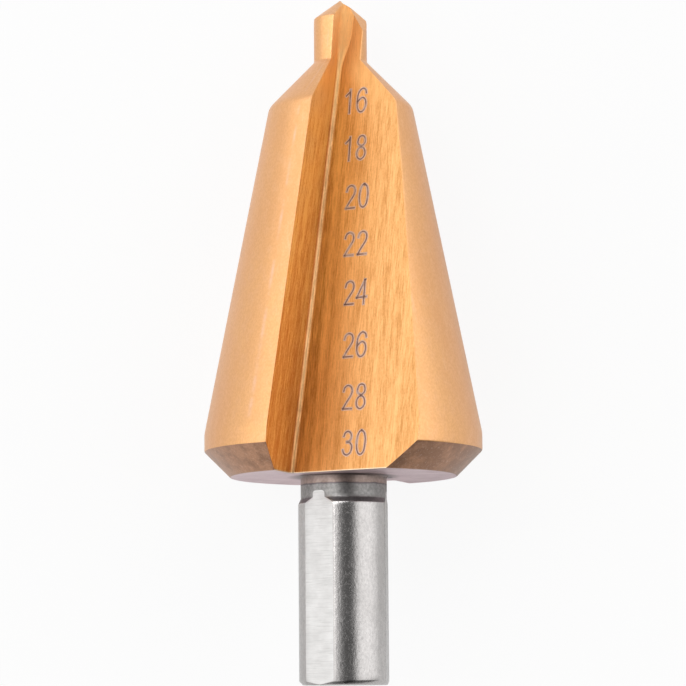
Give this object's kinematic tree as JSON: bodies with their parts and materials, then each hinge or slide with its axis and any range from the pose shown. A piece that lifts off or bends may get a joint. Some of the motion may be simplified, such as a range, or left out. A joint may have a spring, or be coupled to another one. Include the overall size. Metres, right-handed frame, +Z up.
{
  "type": "conical sheet drill",
  "caption": "Straight-fluted conical drill with a pilot point and a flatted shank, for opening and widening round holes in sheet metal and tube.",
  "frame": {"origin": "on the floor, under the middle of the bounding box of the drill as it lies", "axes": "+Z up, +Y along the drill from the shank to the point, +X across it"},
  "size_m": [0.0304, 0.0758, 0.026],
  "materials": {
    "coated_steel": "satin gold-coloured hard coating on the head, bare ground steel neck and shank"
  },
  "bodies": {
    "root": {"drill": "coated_steel"}
  },
  "joints": []
}
